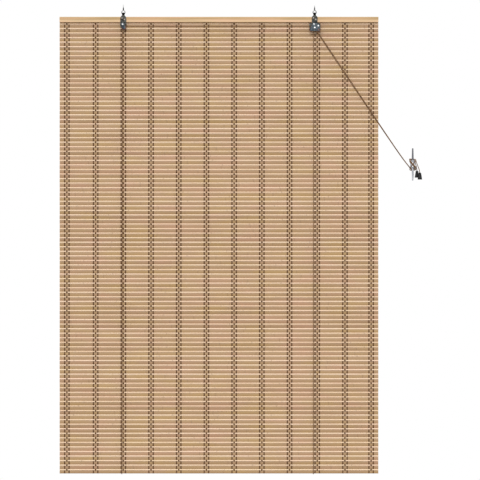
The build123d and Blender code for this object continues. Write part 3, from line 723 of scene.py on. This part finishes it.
def metal(name, dark, light, roughness, grit, *bands):
    """Return a metal with marks of a size in metres; a band is two heights and the darker tone between."""
    material, tree, shader = new_finish(name, Metallic=1.0)
    place = add_node(tree, "ShaderNodeTexCoord")
    marks = add_node(tree, "ShaderNodeTexNoise", {
        "Vector": place.outputs["Object"], "Scale": 1 / grit, "Detail": 3.0, "Roughness": 0.6})
    tone = add_node(tree, "ShaderNodeValToRGB", {"Fac": marks.outputs["Fac"]},
                    stops=((0.35, linear(dark)), (0.65, linear(light))))
    colour = tone.outputs["Color"]
    for low, high, shade in bands:
        spot = add_node(tree, "ShaderNodeSeparateXYZ", {0: place.outputs["Object"]})
        middle = add_node(tree, "ShaderNodeMath", {
            0: spot.outputs["Z"], 1: (low + high) / 2}, operation="SUBTRACT")
        away = add_node(tree, "ShaderNodeMath", {0: middle.outputs[0]}, operation="ABSOLUTE")
        reach = (high - low) / 2
        darkened = add_node(tree, "ShaderNodeMapRange", {
            "Value": away.outputs[0], "From Min": reach + BAND_FADE, "From Max": reach - BAND_FADE})
        banded = add_node(tree, "ShaderNodeMix", {
            0: darkened.outputs["Result"], 6: colour, 7: linear(shade)}, data_type="RGBA")
        colour = banded.outputs[2]
    rough = add_node(tree, "ShaderNodeMapRange", {
        "Value": marks.outputs["Fac"], "To Min": roughness * SMOOTHER, "To Max": roughness * ROUGHER})
    skin = add_node(tree, "ShaderNodeBump", {
        "Height": marks.outputs["Fac"], "Strength": 0.2, "Distance": 0.1 * MM})
    tree.links.new(colour, shader.inputs["Base Color"])
    tree.links.new(rough.outputs["Result"], shader.inputs["Roughness"])
    tree.links.new(skin.outputs["Normal"], shader.inputs["Normal"])
    return material


print("bands fade over", BAND_FADE, "m")

# %% Metals
# Painted shade: the tab's curl sits back behind the plate and is painted black.
TAB_CURL_SHADE = (-20.5 * MM, -9.0 * MM, "#0A0A0B")
EYE_RING = (-20.0 * MM, -4.0 * MM, "#5C5D5E")
# Painted shade: the eye's neck, where the ring meets the thread, is painted black.
EYE_NECK_SHADE = (-3.6 * MM, 4.4 * MM, "#070708")
# Painted shade: the cleat's upper horn is painted darker than the lower one.
UPPER_HORN_SHADE = (-474.0 * MM, -430.0 * MM, "#6E6F73")
plate_steel = metal("blackened_pressed_steel", "#25241F", "#5F605C", 0.42, 5.0 * MM, TAB_CURL_SHADE)
cheek_steel = metal("blued_pressed_steel", "#2C343A", "#646E74", 0.36, 5.0 * MM)
bright_steel = metal("bright_rivet_steel", "#CDCFD0", "#EBECEB", 0.2, 1.2 * MM)
worn_steel = metal("worn_axle_steel", "#5E4A46", "#8A726C", 0.45, 1.6 * MM)
dull_steel = metal("dull_screw_steel", "#8A8079", "#B9AFA8", 0.45, 1.6 * MM)
eye_zinc = metal("zinc_plated_wire", "#BCBDBE", "#E2E2E1", 0.3, 2.5 * MM, EYE_RING, EYE_NECK_SHADE)
horn_zinc = metal("tumbled_zinc_casting", "#9FA1A6", "#CDD0D5", 0.36, 9.0 * MM, UPPER_HORN_SHADE)
for side in ("left", "right"):
    dress(plate_steel, side + "_hanger_plate")
    dress(cheek_steel, side + "_front_cheek")
    dress(dull_steel, side + "_plate_screws", side + "_cord_anchor")
    dress(eye_zinc, side + "_screw_eye")
dress(cheek_steel, "left_axle", "inner_axle")
dress(worn_steel, "guide_axle")
dress(dull_steel, "mat_staples")
dress(bright_steel, "right_axle", "left_spacer_rivet", "right_spacer_rivets")
dress(horn_zinc, "cleat")
print("steels:", plate_steel.name, cheek_steel.name, bright_steel.name, worn_steel.name, dull_steel.name)
print("zincs:", eye_zinc.name, horn_zinc.name)

# %% [markdown]
# ## Screw threads
# Each eye screws up into the ceiling, so its shank carries a coarse wood thread that dies out on the
# point. A thread is one small triangle carried round the shank and up a little with each step, which is
# what spin does when it is given a rise. The thread is widest at the eye, as on any wood screw, so its
# turns are drawn in on the way up, and at the top they follow the cone of the point.

# %% Screw threads
THREAD_PITCH = 1.8 * MM
THREAD_TURNS = 9
THREAD_STEPS = 14
THREAD_FOOT = -3.4 * MM
THREAD_ROOT = 1.1 * MM
THREAD_CREST = 2.9 * MM
THREAD_HALF = 0.85 * MM
SLIM_LEVEL = 5.0 * MM
SLIM_SHARE = 0.6
CONE_FOOT = 11.0 * MM


def make_thread(side):
    """Make the thread of one screw eye."""
    low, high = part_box(side + "_screw_eye")
    middle = (low[0] + high[0]) / 2
    thread = bmesh.new()
    profile = [thread.verts.new((middle + reach, 0.0, THREAD_FOOT + rise)) for reach, rise in (
        (THREAD_ROOT, -THREAD_HALF), (THREAD_CREST, 0.0), (THREAD_ROOT, THREAD_HALF))]
    sides = [thread.edges.new(pair) for pair in zip(profile, profile[1:] + profile[:1])]
    bmesh.ops.spin(thread, geom=profile + sides, cent=(middle, 0.0, 0.0), axis=(0.0, 0.0, 1.0),
                   dvec=(0.0, 0.0, THREAD_PITCH / THREAD_STEPS), angle=2 * math.pi * THREAD_TURNS,
                   steps=THREAD_TURNS * THREAD_STEPS)
    bmesh.ops.holes_fill(thread, edges=[edge for edge in thread.edges if edge.is_boundary], sides=3)
    bmesh.ops.recalc_face_normals(thread, faces=thread.faces)
    for vertex in thread.verts:
        climb = min(1.0, max(0.0, (vertex.co.z - THREAD_FOOT) / (SLIM_LEVEL - THREAD_FOOT)))
        cone = min(1.0, (high[2] - vertex.co.z) / (high[2] - CONE_FOOT))
        share = (1.0 - (1.0 - SLIM_SHARE) * climb) * cone
        vertex.co.x = middle + (vertex.co.x - middle) * share
        vertex.co.y *= share
    mesh = bpy.data.meshes.new(side + "_eye_thread")
    thread.to_mesh(mesh)
    thread.free()
    return place_piece(side + "_eye_thread", mesh, eye_zinc)


for side in ("left", "right"):
    thread_piece = make_thread(side)
    print(thread_piece.name, len(thread_piece.data.polygons), "faces")

# %% [markdown]
# ## Plastics
# Sheaves and rollers are moulded in brown nylon, with a soft sheen from the mould. The bell tassels are
# deep black and polished, so they stay dark all over but for a narrow highlight.

# %% Plastics


def moulded(name, dark, light, roughness, shine, grit):
    """Return a moulded plastic with faint flow marks of the given size in metres."""
    material, tree, shader = new_finish(name, Roughness=roughness, Specular_IOR_Level=shine)
    place = add_node(tree, "ShaderNodeTexCoord")
    flow = add_node(tree, "ShaderNodeTexNoise", {
        "Vector": place.outputs["Object"], "Scale": 1 / grit, "Detail": 2.0})
    tone = add_node(tree, "ShaderNodeValToRGB", {"Fac": flow.outputs["Fac"]},
                    stops=((0.3, linear(dark)), (0.7, linear(light))))
    skin = add_node(tree, "ShaderNodeBump", {
        "Height": flow.outputs["Fac"], "Strength": 0.1, "Distance": 0.1 * MM})
    tree.links.new(tone.outputs["Color"], shader.inputs["Base Color"])
    tree.links.new(skin.outputs["Normal"], shader.inputs["Normal"])
    return material


brown_nylon = moulded("brown_moulded_nylon", "#4A1D14", "#642A1C", 0.34, 0.4, 3.0 * MM)
black_abs = moulded("glossy_black_abs", "#020202", "#050506", 0.2, 0.3, 5.0 * MM)
dress(brown_nylon, "left_sheave", "right_rear_sheave", "right_front_sheave")
dress(brown_nylon, "inner_roller", "guide_roller")
dress(black_abs, "left_tassel", "right_tassel")
print("finishes:", brown_nylon.name, black_abs.name)
